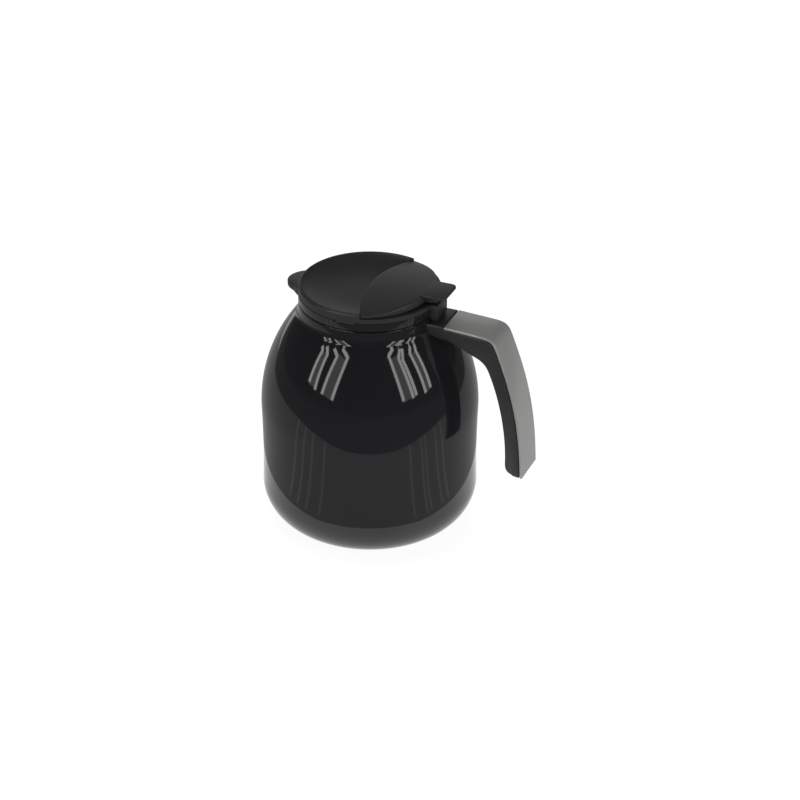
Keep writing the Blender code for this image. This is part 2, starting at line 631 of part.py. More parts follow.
def make_lever(mat, steel):
    plate = crowned("pour_lever", lens_outline(0, LENS_REAR, LENS_REAR_X), 160 * MM, 0)
    plate.data.materials.append(mat)
    inside = lens_outline(LENS_WALL, LENS_REAR - LENS_WALL, LENS_REAR_X)
    cut(plate, crowned("plate_hollow", inside, 158 * MM, LENS_THICK))
    clearance = below_dish("closed_clearance", LEVER_CLEARANCE, 55 * MM, LOW_RIM_Z)
    clearance.rotation_euler.z = math.pi / SHELL_STEPS
    cut(plate, clearance)

    corner = 4.0 * MM
    tab_outline = [(TAB_START, -TAB_HALF_WIDTH)]
    tab_outline += arc((TAB_END - corner, -TAB_HALF_WIDTH + corner), corner, -90, 0, 5)
    tab_outline += arc((TAB_END - corner, TAB_HALF_WIDTH - corner), corner, 0, 90, 5)
    tab_outline += [(TAB_START, TAB_HALF_WIDTH)]
    join(plate, upright("thumb_tab", tab_outline, TAB_TOP - TAB_THICK, TAB_TOP))
    skirt_low = (TAB_START + 1 * MM, -REST_HALF_WIDTH, 176 * MM)
    join(plate, block("tab_root", skirt_low, (REST_END, REST_HALF_WIDTH, TAB_TOP - 1 * MM)))

    relief_start = PIVOT_X - 2 * MM
    relief_low = LOW_RIM_Z + 0.4 * MM
    relief_rise = math.tan(PRESS_ANGLE) * 30 * MM
    relief = [(relief_start, 155 * MM), (relief_start + 30 * MM, 155 * MM)]
    relief += [(relief_start + 30 * MM, relief_low + relief_rise), (relief_start, relief_low)]
    cut(plate, sideways("pressed_clearance", relief, -50 * MM, 50 * MM))

    for side in (-1, 1):
        lug = arc((PIVOT_X, PIVOT_Z), EAR_RADIUS, 180, 360, 7) + mm((38.6, 180.2), (33.4, 180.0))
        low, high = sorted((side * 5.4 * MM, side * 8.8 * MM))
        join(plate, sideways("lug", lug, low, high))
    start = (PIVOT_X, -14 * MM, PIVOT_Z)
    end = (PIVOT_X, 14 * MM, PIVOT_Z)
    cut(plate, rod("pivot_hole", start, end, PIN_RUNNING_HOLE, steps=24))

    fork_bottom = STEM_HEAD_Z - 2.5 * MM
    fork_top = STEM_HEAD_Z - GAP
    join(plate, block("web", (13 * MM, -5 * MM, fork_bottom), (15 * MM, 5 * MM, 179.2 * MM)))
    for side in (-1, 1):
        low, high = sorted((side * 2.7 * MM, side * 4.8 * MM))
        join(plate, block("prong", (5.6 * MM, low, fork_bottom + 0.2 * MM), (13.5 * MM, high, fork_top)))

    pin_start = (PIVOT_X, -PIN_HALF_LENGTH, PIVOT_Z)
    rod("lever_pin", pin_start, (PIVOT_X, PIN_HALF_LENGTH, PIVOT_Z), PIN_RADIUS, steel, 24)
    return plate


def make_valve(plastic, rubber, steel):
    centre = (VALVE_X, 0)
    pivot = (VALVE_X, 0, 140 * MM)
    bore = STEM_RADIUS + 0.35 * MM
    foot = [(0, 137.6 * MM), (5.5 * MM, 137.6 * MM), (5.5 * MM, 139.2 * MM), (STEM_RADIUS, 139.2 * MM)]
    groove = [(STEM_RADIUS, 147.2 * MM), (1.5 * MM, 147.2 * MM)]
    groove += [(1.5 * MM, 148.2 * MM), (STEM_RADIUS, 148.2 * MM)]
    head_top = STEM_HEAD_Z + STEM_HEAD_THICK
    head = [(STEM_RADIUS, STEM_HEAD_Z), (STEM_HEAD, STEM_HEAD_Z), (STEM_HEAD, head_top), (0, head_top)]
    turned("valve_stem", foot + groove + head, plastic, 20, centre, pivot)

    seal = mm((2.35, 139.5), (11.6, 139.5), (11.6, 140.4), (2.35, 140.4))
    turned("valve_seal", seal, rubber, 28, centre, pivot)

    disc = [(bore, 140.7 * MM), (DISC_RADIUS, 140.7 * MM), (DISC_RADIUS, 142.9 * MM), (4.5 * MM, 142.9 * MM)]
    disc += [(4.5 * MM, 146.9 * MM), (bore, 146.9 * MM)]
    turned("valve_disc", disc, plastic, 28, centre, pivot)

    ring = mm((1.8, 147.35), (4.2, 147.35), (4.2, 148.05), (1.8, 148.05))
    clip = turned("stem_clip", ring, steel, 20, centre, pivot)
    mouth_low = (VALVE_X, -1.5 * MM, 146 * MM)
    cut(clip, block("clip_mouth", mouth_low, (VALVE_X + 6 * MM, 1.5 * MM, 150 * MM)))


def make_spring(steel):
    """The helical spring that pushes the valve shut, as a closed tube along its wire."""
    per_turn = 12
    count = per_turn * SPRING_TURNS + 1
    curve = bpy.data.curves.new("valve_spring", "CURVE")
    curve.dimensions = "3D"
    curve.bevel_depth = SPRING_WIRE
    curve.bevel_resolution = 1
    curve.use_fill_caps = True
    spline = curve.splines.new("POLY")
    spline.points.add(count - 1)
    for i, point in enumerate(spline.points):
        angle = math.tau * i / per_turn
        height = SPRING_BOTTOM + (SPRING_TOP - SPRING_BOTTOM) * i / (count - 1)
        x = VALVE_X + SPRING_RADIUS * math.cos(angle)
        point.co = (x, SPRING_RADIUS * math.sin(angle), height, 1)
    curve.materials.append(steel)
    spring = bpy.data.objects.new("valve_spring", curve)
    bpy.context.collection.objects.link(spring)


def main():
    clear_scene()
    gloss = material("gloss black plastic", (0.012, 0.011, 0.013), 0.06)
    matte = material("charcoal plastic", (0.040, 0.037, 0.038), 0.45)
    grip = material("satin black plastic", (0.043, 0.041, 0.042), 0.38)
    silver = material("silver lacquer", (0.42, 0.43, 0.44), 0.33, 0.7)
    inner = material("black inner plastic", (0.03, 0.03, 0.03), 0.4)
    glass = material("silvered glass", (0.80, 0.82, 0.84), 0.05, 0.9)
    rubber = material("grey silicone", (0.20, 0.20, 0.20), 0.6)
    steel = material("stainless steel", (0.60, 0.60, 0.60), 0.25, 1.0)
    cork = material("cork", (0.42, 0.30, 0.18), 0.9)

    make_outer_shell(gloss)
    make_base(inner, rubber)
    make_flask(glass, cork)
    make_neck(inner, rubber)
    make_handle(grip, silver, steel)
    make_lid_cover(matte)
    make_lid_band(gloss)
    make_lid_plug(inner, rubber, steel)
    make_lever(matte, steel)
    make_valve(inner, rubber, steel)
    make_spring(steel)


main()
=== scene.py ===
"""The looks of the thermal coffee jug: fine surfaces, materials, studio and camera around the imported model.

Metres, +Z up, +X towards the handle and -X towards the beak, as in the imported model.
"""

import json
import math

import bmesh
import bpy
from mathutils import Matrix, Vector


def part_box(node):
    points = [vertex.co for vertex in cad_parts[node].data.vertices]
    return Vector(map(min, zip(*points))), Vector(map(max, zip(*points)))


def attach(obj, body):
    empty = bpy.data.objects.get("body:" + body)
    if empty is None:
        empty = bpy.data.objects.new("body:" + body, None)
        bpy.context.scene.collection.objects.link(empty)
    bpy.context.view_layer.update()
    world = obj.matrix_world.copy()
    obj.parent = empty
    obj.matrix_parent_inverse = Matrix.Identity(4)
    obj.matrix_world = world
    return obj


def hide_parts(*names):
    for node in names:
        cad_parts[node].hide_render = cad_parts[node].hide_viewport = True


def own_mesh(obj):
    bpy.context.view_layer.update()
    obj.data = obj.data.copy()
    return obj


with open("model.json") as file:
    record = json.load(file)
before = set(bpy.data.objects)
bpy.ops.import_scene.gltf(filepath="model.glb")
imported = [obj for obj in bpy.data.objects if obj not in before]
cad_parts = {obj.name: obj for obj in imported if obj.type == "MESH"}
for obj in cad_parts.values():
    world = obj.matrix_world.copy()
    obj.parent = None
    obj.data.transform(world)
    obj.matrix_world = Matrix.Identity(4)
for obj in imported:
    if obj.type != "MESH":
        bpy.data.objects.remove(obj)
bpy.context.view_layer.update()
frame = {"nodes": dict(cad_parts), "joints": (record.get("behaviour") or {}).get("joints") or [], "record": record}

MM = 0.001
MERGE = 0.002 * MM
GAP = 0.3 * MM
FINE = 160
FINER = 224
SHARP = math.radians(32)

# Shell, from the model's box and the same driving sizes as the CAD
BODY_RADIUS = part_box("outer_shell")[1][0]
NECK_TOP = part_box("outer_shell")[1][2]
WALL = 2.6 * MM
WAIST = 0.6 * MM
DOME_RADIUS = 106.0 * MM
DOME_CENTRE_Z = 88.0 * MM
CORNER_RADIUS = 28.0 * MM
NECK_RADIUS = 48.5 * MM
NECK_FILLET = 9.0 * MM
NECK_FILLET_Z = 161.4 * MM
COLLAR_BORE = 50.5 * MM
COLLAR_TOP = 12.0 * MM

# Lid
BAND_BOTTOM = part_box("lid_band")[0][2] + 2.5 * MM
BAND_TOP = 172.2 * MM
SEAM = 0.06 * MM
BAND_RADIUS = 48.5 * MM
BAND_INNER = 46.0 * MM
RIM_RADIUS = 48.2 * MM
RIM_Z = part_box("lid_cover")[1][2]
CREST_RADIUS = 46.3 * MM
CREST_ROUNDING = 1.9 * MM
LOW_RIM_Z = 175.4 * MM
DISH_Z = 172.6 * MM
DISH_RISE = 5.2 * MM
DISH_RADIUS = 46.0 * MM
DISH_WALL = 1.8 * MM
SKIRT_OUTER = 45.6 * MM
SKIRT_INNER = 43.6 * MM
FLANGE_TOP = 164.0 * MM
TRAY_FLOOR = 167.0 * MM
TRAY_BOTTOM = 165.4 * MM
SCREW_CIRCLE = 36.5 * MM
BOSS_RADIUS = 3.6 * MM
BOSS_HOLE = 1.75 * MM
BOSS_HOLE_TOP = 169.7 * MM
BOSS_TOPS = (171.0 * MM, 173.8 * MM, 173.8 * MM)
BEAK_TIP = 60.2 * MM
BEAK_RADIUS = 11.4 * MM
BEAK_FLARE = 18.0 * MM
BEAK_START = -42 * MM
BEAK_FLARE_CURVE = ((-43, 18), (-46.5, 16.6), (-49.5, 13.0), (-52, 11.0))
BEAK_ROOT_TOP = 173.0 * MM
BEAK_TOP_TIP = 171.2 * MM
BEAK_BOTTOM_TIP = 167.8 * MM
BEAK_END = -70 * MM
CHANNEL = ((-63, 168.9), (-40, 168.2), (-40, 171.0), (-63, 170.0))
CHANNEL_HALF_WIDTH = 7.0 * MM
CUT_TOP = 190 * MM
CUT_BOTTOM = 150 * MM
DISH_CUT_BOTTOM = 157 * MM

# Lever
LENS_CENTRE_X = 100.1 * MM
LENS_RADIUS = 98.4 * MM
LENS_REAR_X = -3.7 * MM
LENS_REAR = 48.3 * MM
LENS_FRONT_Z = 180.4 * MM
LENS_SLOPE = 0.045
LENS_CROWN = 250.0 * MM
LENS_WALL = 1.8 * MM
LENS_THICK = 2.0 * MM
TRAY_REAR = 42.4 * MM
TRAY_WALL = 1.6 * MM
TRAY_INSET = 1.0 * MM
BED_HALF_ANGLE = 33
LEVER_CLEARANCE = 0.5 * MM
TAB_START = 41.0 * MM
TAB_END = 58.6 * MM
TAB_HALF_WIDTH = 12.0 * MM
TAB_TOP = 183.1 * MM
TAB_THICK = 1.9 * MM
TAB_CORNER = 4.0 * MM
TAB_ROOT_Z = 176 * MM
REST_END = 52.3 * MM
REST_HALF_WIDTH = 9.5 * MM
PRESS_ANGLE = math.radians(8.0)
PIVOT = next(Vector(j["pos_m"]) for j in frame["joints"] if j["name"] == "lever_press")
EAR_RADIUS = 2.6 * MM
EAR_FOOT = 166.5 * MM
EAR_INNER, EAR_OUTER = 9.2 * MM, 12 * MM
LUG_INNER, LUG_OUTER = 5.4 * MM, 8.8 * MM
AXLE_HALF = 14 * MM
PIN_RADIUS = 1.25 * MM
VALVE_X = 8.0 * MM
STEM_HEAD_Z = 174.0 * MM
FORK_DEPTH = 2.5 * MM
WEB_LOW_X, WEB_HIGH_X, WEB_TOP = 13 * MM, 15 * MM, 179.2 * MM
PRONG_LOW_X, PRONG_HIGH_X = 5.6 * MM, 13.5 * MM
PRONG_INNER, PRONG_OUTER = 2.7 * MM, 4.8 * MM
SPRING_RADIUS = 5.8 * MM
SPRING_WIRE = 0.44 * MM
SPRING_TURNS = 5
SPRING_BOTTOM = 143.9 * MM
SPRING_TOP = 164.6 * MM

# Handle. The curves are (x, z) in millimetres.
HANDLE_HALF_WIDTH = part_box("handle_trim")[1][1]
HANDLE_TOP = 163.5 * MM
TRIM_START = 59.0 * MM
TRIM_THICK = 1.8 * MM
BACK_CORNER = ((87, 162.1), (94.2, 161.4), (95.6, 158.5), (97.7, 153.6))
BACK = ((97.7, 153.6), (110.4, 122.7), (116.2, 99.5), (117.8, 59.8))
FREE_END = ((109.2, 61.6), (106.0, 62.4), (105.0, 65.5), (105.0, 69))
FINGER_SIDE = ((105.0, 69), (105.0, 96), (98.2, 121), (91.2, 136.6))
ELBOW = ((91.2, 136.6), (88.8, 142), (85.5, 143.9), (82, 145.3))
ROOT_UNDERSIDE = ((62, 154.0), (56, 154.0), (40, 158.0))

# Camera
CAMERA_AZIMUTH = math.radians(23.5)
CAMERA_ELEVATION = math.radians(30.0)
CAMERA_DISTANCE = 1.59
CAMERA_TARGET = Vector((0, 0, 0.0885))
CAMERA_LENS = 103.5
CAMERA_SHIFT = (0.0375, -0.002)

# Studio. Bearings and elevations are in degrees, bearings from +X.
TO_CAMERA = (math.sin(CAMERA_AZIMUTH), -math.cos(CAMERA_AZIMUTH), 0)
BACKDROP_EDGE = 0.035
BACKDROP_END = 0.07
SURROUND = 0.12
WORLD_STRENGTH = 0.65
FLOOR_HALF = 8.0
FLOOR_GLOW = 0.93
FLAG_HALF_WIDTH = 0.56
FLAG_DEPTH = 0.57
FLAG_BACK = 0.35
FLAG_FAR = 14.0
BACKDROP_HALF_ANGLE = math.radians(26)
# Painted dark reflection: the glow of the sheet in front of the jug, which only reflections show
DARK_REFLECTION_RADIANCE = 0.13
# Painted reflections of the floor, which only reflections show: a dim ring round the jug and the light tubes'
# images in it
SHEET_RING = (0.125, 0.9)
DIM_FLOOR_REFLECTION_RADIANCE = 0.4
TUBE_REFLECTION_RING = (0.13, 0.7)
TUBE_REFLECTION_HALF_ANGLE = 1.1
TUBE_REFLECTION_RADIANCE = 0.62
STRIP_CENTRE = Vector((0, 0, 0.12))
STRIP_DISTANCE = 1.6
STRIP_WIDTH = 3.0
STRIP_RADIANCE = 5.2
FILL_RADIANCE = 0.9
STRIPS = [
    [(-137, 10), (-138, 32), (-142, 34)],
    [(-128, 8), (-129, 33), (-135.5, 37)],
    [(-119, 8), (-115, 37), (-124, 40)],
    [(-107, 7), (-99.5, 40), (-112, 44)],
    [(-31, 7.5), (-38, 42), (-28, 46)],
    [(-20, 7), (-25, 37), (-18, 43)],
    [(-16, 8), (-20, 35), (-14, 42)],
    [(-5, 6), (-7, 35), (-1, 39)],
    [(2, 7), (2.5, 33), (6, 37)],
]
EDGE_LAMP = [(-150, 56), (-100, 56)]
EDGE_LAMP_WIDTH = 10.0
EDGE_LAMP_RADIANCE = 6.0
STRIP_FILLS = [(0, 1), (2, 3), (4, 5), (5, 6), (7, 8)]
# Name, bearing, elevation, distance, side length and power of each softbox
SOFTBOXES = (
    ("overhead", 120, 75, 2.2, 2.4, 15),
    ("left_fill", 215, 35, 2.0, 1.2, 4),
    ("front_fill", -25, 22, 2.0, 1.2, 9),
)


# ---- Outlines -------------------------------------------------------------------------------------------


def arc(centre, radius, start, end, count):
    """Points on an arc in a flat plane, from start to end in degrees, with both ends."""
    angles = [math.radians(start + (end - start) * i / (count - 1)) for i in range(count)]
    return [(centre[0] + radius * math.cos(a), centre[1] + radius * math.sin(a)) for a in angles]


def bezier(p0, p1, p2, p3, count):
    """Points on a cubic curve between p0 and p3, with both ends."""
    points = []
    for i in range(count):
        t = i / (count - 1)
        weights = ((1 - t) ** 3, 3 * t * (1 - t) ** 2, 3 * t * t * (1 - t), t**3)
        points.append(tuple(sum(w * p[k] for w, p in zip(weights, (p0, p1, p2, p3))) for k in (0, 1)))
    return points


def mm(*pairs):
    """The given (across, up) pairs, written in millimetres, in metres."""
    return [(a * MM, b * MM) for a, b in pairs]


def skin(inset, points=40):
    """The shell's line from neck to foot, moved inwards by inset, as (radius, height)."""
    dome_centre = (BODY_RADIUS - DOME_RADIUS, DOME_CENTRE_Z)
    fillet_centre = (NECK_RADIUS + NECK_FILLET, NECK_FILLET_Z)
    rise = math.degrees(math.atan2(NECK_FILLET_Z - DOME_CENTRE_Z, fillet_centre[0] - dome_centre[0]))
    line = arc(fillet_centre, NECK_FILLET + inset, 180, 180 + rise, points // 3)
    line += arc(dome_centre, DOME_RADIUS - inset, rise, 0, points)[1:]
    for i in range(1, points // 2):
        share = i / (points // 2)
        height = DOME_CENTRE_Z + (CORNER_RADIUS - DOME_CENTRE_Z) * share
        line.append((BODY_RADIUS - inset - WAIST * math.sin(math.pi * share), height))
    corner_centre = (BODY_RADIUS - CORNER_RADIUS, CORNER_RADIUS)
    line += arc(corner_centre, CORNER_RADIUS - inset, 0, -90, points // 2)
    return line


def down_to_radius(line, radius):
    """The line without its points inside the radius near the foot."""
    return [(r, z) for r, z in line if z > CORNER_RADIUS or r > radius]


def dish_height(radius):
    """The height of the lid's dished face."""
    return DISH_Z + DISH_RISE * (radius / DISH_RADIUS) ** 4


def dish_line(raise_by, ceiling=RIM_Z, points=24):
    """The lid's dished face from the middle to the crest of its rim, moved up by raise_by."""
    radii = [45.0 * MM * i / (points - 1) for i in range(points)]
    line = [(r, min(dish_height(r), ceiling) + raise_by) for r in radii]
    return line + [(CREST_RADIUS, ceiling + raise_by)]


def lens_outline(inset, rear, rear_x=0.0, points=40):
    """Two overlapping circles from above: the plate's front edge, moved back by inset, and a rear circle."""
    front = LENS_RADIUS - inset
    between = LENS_CENTRE_X - rear_x
    tip_x = (between**2 + rear**2 - front**2) / (2 * between)
    rear_angle = math.degrees(math.acos(tip_x / rear))
    front_angle = math.degrees(math.asin(math.sqrt(rear**2 - tip_x**2) / front))
    line = arc((rear_x, 0), rear, -rear_angle, rear_angle, 2 * points)
    line += arc((LENS_CENTRE_X, 0), front, 180 - front_angle, 180 + front_angle, points)[1:-1]
    return line


def beak_outline():
    """The beak seen from above: a round tip that flares out to the lid's rim."""
    centre_x = BEAK_RADIUS - BEAK_TIP
    flare = bezier(*mm(*BEAK_FLARE_CURVE), 9)
    line = [(BEAK_START, BEAK_FLARE)] + flare
    line += arc((centre_x, 0), BEAK_RADIUS, 110, 250, 33)
    line += [(x, -y) for x, y in reversed(flare)]
    return line + [(BEAK_START, -BEAK_FLARE)]


# ---- Solids ---------------------------------------------------------------------------------------------


def finish(bm, name):
    """Makes a smooth-shaded object of the mesh being built."""
    bmesh.ops.remove_doubles(bm, verts=bm.verts, dist=MERGE)
    bmesh.ops.recalc_face_normals(bm, faces=bm.faces)
    mesh = bpy.data.meshes.new(name)
    bm.to_mesh(mesh)
    bm.free()
    mesh.shade_smooth()
    mesh.set_sharp_from_angle(angle=SHARP)
    obj = bpy.data.objects.new(name, mesh)
    bpy.context.collection.objects.link(obj)
    return obj


def turned(name, profile, steps=FINE):
    """Spins a closed (radius, height) outline about the jug's axis."""
    bm = bmesh.new()
    verts = [bm.verts.new((r, 0, z)) for r, z in profile]
    edges = [bm.edges.new((a, b)) for a, b in zip(verts, verts[1:] + verts[:1]) if a.co.x or b.co.x]
    bmesh.ops.spin(bm, geom=verts + edges, cent=(0, 0, 0), axis=(0, 0, 1), angle=math.tau, steps=steps)
    return finish(bm, name)


def prism(name, base, way):
    """A prism on a closed outline of 3-D points, drawn out along way."""
    bm = bmesh.new()
    face = bm.faces.new([bm.verts.new(point) for point in base])
    raised = bmesh.ops.extrude_face_region(bm, geom=[face])["geom"]
    bmesh.ops.translate(bm, verts=[v for v in raised if isinstance(v, bmesh.types.BMVert)], vec=way)
    return finish(bm, name)


def upright(name, outline, bottom, top):
    """A prism on an outline seen from above."""
    return prism(name, [(x, y, bottom) for x, y in outline], (0, 0, top - bottom))


def sideways(name, outline, y_low, y_high):
    """A prism on an outline in the plane through the beak and the handle."""
    return prism(name, [(x, y_low, z) for x, z in outline], (0, y_high - y_low, 0))


def block(name, low, high):
    """A box between two opposite corners."""
    outline = [(low[0], low[1]), (high[0], low[1]), (high[0], high[1]), (low[0], high[1])]
    return upright(name, outline, low[2], high[2])


def rod(name, start, end, radius, steps=32):
    """A straight round bar between two points."""
    bm = bmesh.new()
    way = Vector(end) - Vector(start)
    place = Matrix.Translation((Vector(start) + Vector(end)) / 2)
    place = place @ Vector((0, 0, 1)).rotation_difference(way).to_matrix().to_4x4()
    bmesh.ops.create_cone(
        bm,
        cap_ends=True,
        segments=steps,
        radius1=radius,
        radius2=radius,
        depth=way.length,
        matrix=place,
    )
    return finish(bm, name)


def settle(obj):
    """Replaces the object's mesh by what its modifiers make of it."""
    graph = bpy.context.evaluated_depsgraph_get()
    mesh = bpy.data.meshes.new_from_object(obj.evaluated_get(graph))
    obj.modifiers.clear()
    obj.data = mesh
    mesh.shade_smooth()
    mesh.set_sharp_from_angle(angle=SHARP)
    return obj


def combine(target, operation, *others):
    """Applies one Boolean with each of the others, which are used up."""
    for other in others:
        modifier = target.modifiers.new(operation, "BOOLEAN")
        modifier.operation = operation
        modifier.object = other
        settle(target)
        bpy.data.objects.remove(other, do_unlink=True)
    return target


def cut(target, *cutters):
    return combine(target, "DIFFERENCE", *cutters)


def join(target, *others):
    return combine(target, "UNION", *others)


def round_edges(obj, width, segments=4):
    bevel = obj.modifiers.new("rounded edges", "BEVEL")
    bevel.width = width
    bevel.segments = segments
    bevel.limit_method = "ANGLE"
    bevel.angle_limit = math.radians(50)
    return settle(obj)


def spun_again(name, node):
    """A finer copy of a turned CAD node, from the profile that its mesh has on its -X side."""
    bm = bmesh.new()
    bm.from_mesh(frame["nodes"][node].data)
    near = 0.01 * MM
    bmesh.ops.remove_doubles(bm, verts=bm.verts, dist=near)
    on_side = {v for v in bm.verts if abs(v.co.y) < near and v.co.x < near}
    bmesh.ops.delete(bm, geom=[v for v in bm.verts if v not in on_side], context="VERTS")
    bmesh.ops.delete(bm, geom=list(bm.faces), context="FACES_ONLY")
    axis_edges = [e for e in bm.edges if all(abs(v.co.x) < 2 * near for v in e.verts)]
    bmesh.ops.delete(bm, geom=axis_edges, context="EDGES")
    geom = list(bm.verts) + list(bm.edges)
    bmesh.ops.spin(bm, geom=geom, cent=(0, 0, 0), axis=(0, 0, 1), angle=math.tau, steps=FINE)
    return finish(bm, name)


def use(piece, body, slot, mat, *nodes):
    """Gives a piece its material, the body it rides on and the nodes it stands for; the slot is not used."""
    piece.data.materials.clear()
    piece.data.materials.append(mat)
    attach(piece, body)
    if nodes:
        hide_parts(*nodes)
    return piece


# ---- Materials ------------------------------------------------------------------------------------------


def surface(name, colour, roughness, grain, bump, metallic=0.0, spread=0.15, coat=0.0):
    """A moulded or metal surface with fine grain, slight colour drift and uneven roughness.

    grain is the grain's count per metre, bump its depth in metres.
    """
    mat = bpy.data.materials.new(name)
    mat.use_nodes = True
    nodes = mat.node_tree.nodes
    links = mat.node_tree.links
    shader = nodes["Principled BSDF"]
    shader.inputs["Metallic"].default_value = metallic
    shader.inputs["Coat Weight"].default_value = coat
    shader.inputs["Coat Roughness"].default_value = 0.03
    place = nodes.new("ShaderNodeTexCoord")

    drift = nodes.new("ShaderNodeTexNoise")
    drift.inputs["Scale"].default_value = 38.0
    drift.inputs["Detail"].default_value = 4.0
    links.new(place.outputs["Object"], drift.inputs["Vector"])
    tint = nodes.new("ShaderNodeMix")
    tint.data_type = "RGBA"
    tint.inputs["A"].default_value = (*[c * (1 - spread) for c in colour], 1)
    tint.inputs["B"].default_value = (*[min(c * (1 + spread), 1) for c in colour], 1)
    links.new(drift.outputs["Fac"], tint.inputs["Factor"])
    links.new(tint.outputs["Result"], shader.inputs["Base Color"])

    fine = nodes.new("ShaderNodeTexNoise")
    fine.inputs["Scale"].default_value = grain
    fine.inputs["Detail"].default_value = 3.0
    links.new(place.outputs["Object"], fine.inputs["Vector"])
    sheen = nodes.new("ShaderNodeMapRange")
    sheen.inputs["To Min"].default_value = roughness * 0.9
    sheen.inputs["To Max"].default_value = roughness * 1.12
    links.new(drift.outputs["Fac"], sheen.inputs["Value"])
    links.new(sheen.outputs["Result"], shader.inputs["Roughness"])
    relief = nodes.new("ShaderNodeBump")
    relief.inputs["Strength"].default_value = 1.0
    relief.inputs["Distance"].default_value = bump
    links.new(fine.outputs["Fac"], relief.inputs["Height"])
    links.new(relief.outputs["Normal"], shader.inputs["Normal"])
    return mat


def make_materials():
    return {
        "gloss_black": surface("gloss black", (0.0135, 0.0128, 0.0152), 0.045, 300, 0.0012 * MM, spread=0.1),
        "charcoal": surface("charcoal matte", (0.028, 0.0255, 0.0263), 0.46, 3200, 0.02 * MM),
        "satin_black": surface("satin black", (0.033, 0.031, 0.032), 0.36, 2600, 0.012 * MM),
        "silver": surface("silver lacquer", (0.43, 0.435, 0.42), 0.25, 5200, 0.002 * MM, 0.3, 0.04),
        "inner_plastic": surface("inner plastic", (0.028, 0.028, 0.028), 0.38, 1800, 0.01 * MM),
        "silvered_glass": surface("silvered glass", (0.78, 0.80, 0.82), 0.06, 120, 0.003 * MM, 0.9, 0.03),
        "silicone": surface("grey silicone", (0.19, 0.19, 0.19), 0.58, 2200, 0.01 * MM),
        "steel": surface("stainless steel", (0.56, 0.56, 0.57), 0.26, 4200, 0.004 * MM, 1.0, 0.05),
        "cork": surface("cork", (0.40, 0.28, 0.17), 0.85, 900, 0.12 * MM, spread=0.5),
    }


def dress_cad_nodes(mats):
    """The CAD nodes that stay as they are get the detailed material of their slot."""
    for entry in frame["record"]["subparts"]:
        obj = frame["nodes"][entry["node"]]
        for slot in obj.material_slots:
            slot.material = mats[entry["material_slot"]]


# ---- Jug ------------------------------------------------------------------------------------------------


def make_shell(mats):
    lip = 0.5 * MM
    top = arc((NECK_RADIUS - lip, NECK_TOP - lip), lip, 90, 0, 5)
    outside = down_to_radius(skin(0), COLLAR_BORE)
    inside = [(r, z) for r, z in down_to_radius(skin(WALL, 18), COLLAR_BORE + WALL) if z < NECK_TOP - 1 * MM]
    collar = [(COLLAR_BORE + WALL, COLLAR_TOP), (COLLAR_BORE, COLLAR_TOP), (COLLAR_BORE, 1.0 * MM)]
    inner_top = [(NECK_RADIUS - WALL, NECK_TOP)]
    profile = inner_top + top + outside + list(reversed(collar)) + list(reversed(inside))
    shell = turned("shell", profile, FINER)
    use(shell, "jug", "gloss_black", mats["gloss_black"], "outer_shell")


def make_turned_pieces(mats):
    """Finer copies of the turned pieces that show when the lid is off or the jug lies on its side."""
    for node, body in (
        ("base_foot_ring", "jug"),
        ("vacuum_flask", "jug"),
        ("neck_gasket", "jug"),
        ("neck_ring", "jug"),
        ("lid_seal", "lid_carrier"),
    ):
        slot = next(e["material_slot"] for e in frame["record"]["subparts"] if e["node"] == node)
        use(spun_again(node + "_fine", node), body, slot, mats[slot], node)


def handle_outer_edge(inset):
    """The handle's top and back in the XZ plane from the root to the free end, moved inwards by inset."""
    corner = bezier(*mm(*BACK_CORNER), 16)
    back = bezier(*mm(*BACK), 30)
    line = [(TRIM_START, HANDLE_TOP)] + corner + back[1:]
    moved = []
    for i, point in enumerate(line):
        before = Vector(line[max(i - 1, 0)])
        after = Vector(line[min(i + 1, len(line) - 1)])
        along = (after - before).normalized()
        moved.append((point[0] + along.y * inset, point[1] - along.x * inset))
    return moved


def make_handle(mats):
    seam = handle_outer_edge(TRIM_THICK + GAP)
    grip_top = [(40 * MM, HANDLE_TOP), (TRIM_START - GAP, HANDLE_TOP), (TRIM_START - GAP, seam[0][1])]
    inner = mm((111.0, 60.4)) + bezier(*mm(*FREE_END), 12)
    inner += bezier(*mm(*FINGER_SIDE), 24)[1:]
    inner += bezier(*mm(*ELBOW), 12)[1:]
    inner += mm(*ROOT_UNDERSIDE)
    grip = sideways("grip", grip_top + seam[1:] + inner, -HANDLE_HALF_WIDTH, HANDLE_HALF_WIDTH)
    round_edges(grip, 1.2 * MM)
    envelope = skin(-GAP - 0.1 * MM, 30) + [(0, 0), (0, NECK_TOP + 2 * MM), (NECK_RADIUS, NECK_TOP + 2 * MM)]
    cut(grip, turned("shell_clearance", envelope))
    use(grip, "jug", "satin_black", mats["satin_black"], "handle_grip")

    outline = handle_outer_edge(0) + list(reversed(handle_outer_edge(TRIM_THICK)))
    trim = sideways("trim", outline, -HANDLE_HALF_WIDTH, HANDLE_HALF_WIDTH)
    round_edges(trim, 0.6 * MM)
    use(trim, "jug", "silver", mats["silver"], "handle_trim")


# ---- Lid ------------------------------------------------------------------------------------------------


def below_dish(name, raise_by, beyond, ceiling=RIM_Z):
    """Everything under the lid's dished face, level from the crest outwards, as a cutter."""
    line = dish_line(raise_by, ceiling) + [(beyond, ceiling + raise_by), (beyond, DISH_CUT_BOTTOM)]
    return turned(name, [(0, DISH_CUT_BOTTOM)] + line)


